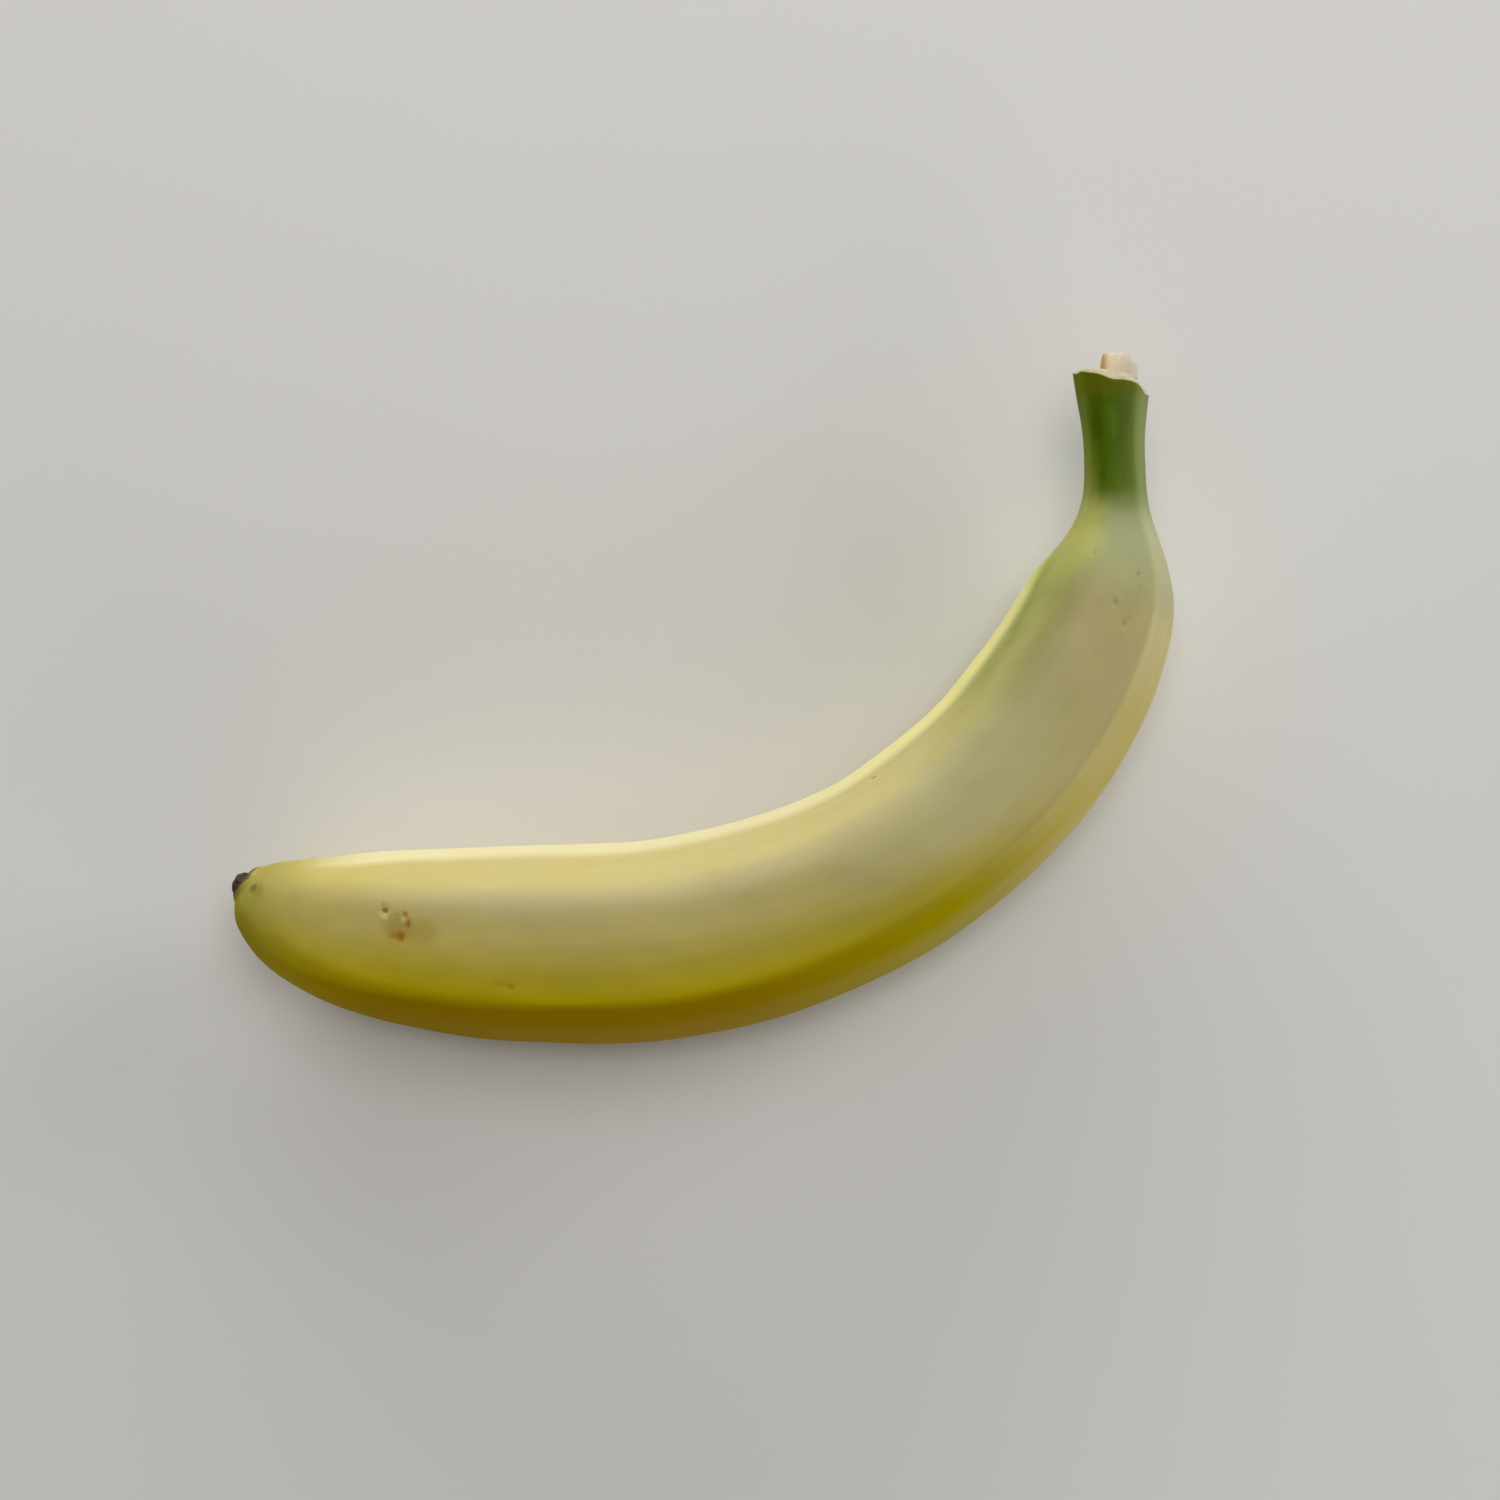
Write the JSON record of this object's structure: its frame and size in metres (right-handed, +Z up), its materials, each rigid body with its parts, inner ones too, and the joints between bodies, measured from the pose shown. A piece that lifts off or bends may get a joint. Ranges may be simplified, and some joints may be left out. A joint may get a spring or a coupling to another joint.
{
  "type": "banana",
  "caption": "Whole unpeeled banana, gently curved and five-ridged, with a green stalk, torn pale crown and dried blossom tip, lying on its flank.",
  "frame": {"origin": "on the resting surface, under the middle of the bounding box", "axes": "+X from the blossom end towards the stalk, +Y towards the hollow side of the curve, +Z up from the surface the fruit lies on"},
  "size_m": [0.1888, 0.0766, 0.0325],
  "materials": {
    "peel": "waxy yellow peel, green on the stalk and down the neck, satin sheen",
    "pith": "pale torn stalk tissue, dry and fibrous",
    "dried_tip": "dried dark brown blossom remnant"
  },
  "bodies": {
    "root": {"banana": "peel"}
  },
  "joints": []
}
